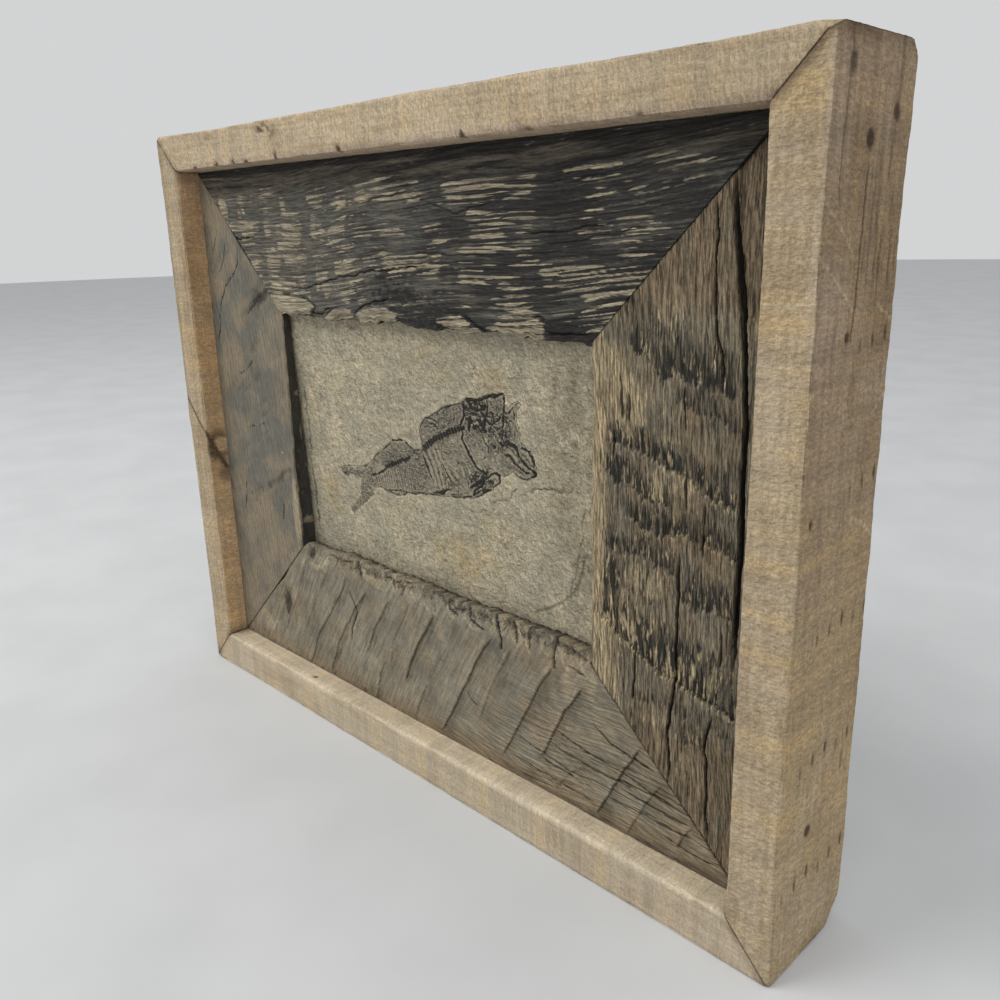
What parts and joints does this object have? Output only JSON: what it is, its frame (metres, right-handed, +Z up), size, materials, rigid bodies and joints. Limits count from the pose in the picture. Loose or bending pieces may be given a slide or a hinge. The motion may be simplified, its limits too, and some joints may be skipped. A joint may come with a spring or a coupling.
{
  "type": "framed fossil fish slab",
  "caption": "Fossil fish in a split limestone slab, set in a free-standing box frame of weathered and rough-sawn boards.",
  "frame": {"origin": "under the middle of the frame, on the surface that it stands on", "axes": "+X to the viewer's right along the frame's long side, +Y from the front to the back, +Z up"},
  "size_m": [0.28, 0.038, 0.222],
  "materials": {
    "rough_sawn_wood": "raw sawn",
    "dark_barnwood": "weathered",
    "grey_barnwood": "weathered",
    "brown_barnwood": "weathered",
    "limestone": "matt",
    "fossil_bone": "satin",
    "backing_panel": "matt"
  },
  "bodies": {
    "root": {"frame_top": "rough_sawn_wood", "frame_bottom": "rough_sawn_wood", "frame_left": "rough_sawn_wood", "frame_right": "rough_sawn_wood", "barnwood_top": "dark_barnwood", "barnwood_bottom": "grey_barnwood", "barnwood_left": "grey_barnwood", "barnwood_right": "brown_barnwood", "stone_slab": "limestone", "fossil_fish": "fossil_bone", "backing_board": "backing_panel"}
  },
  "joints": []
}
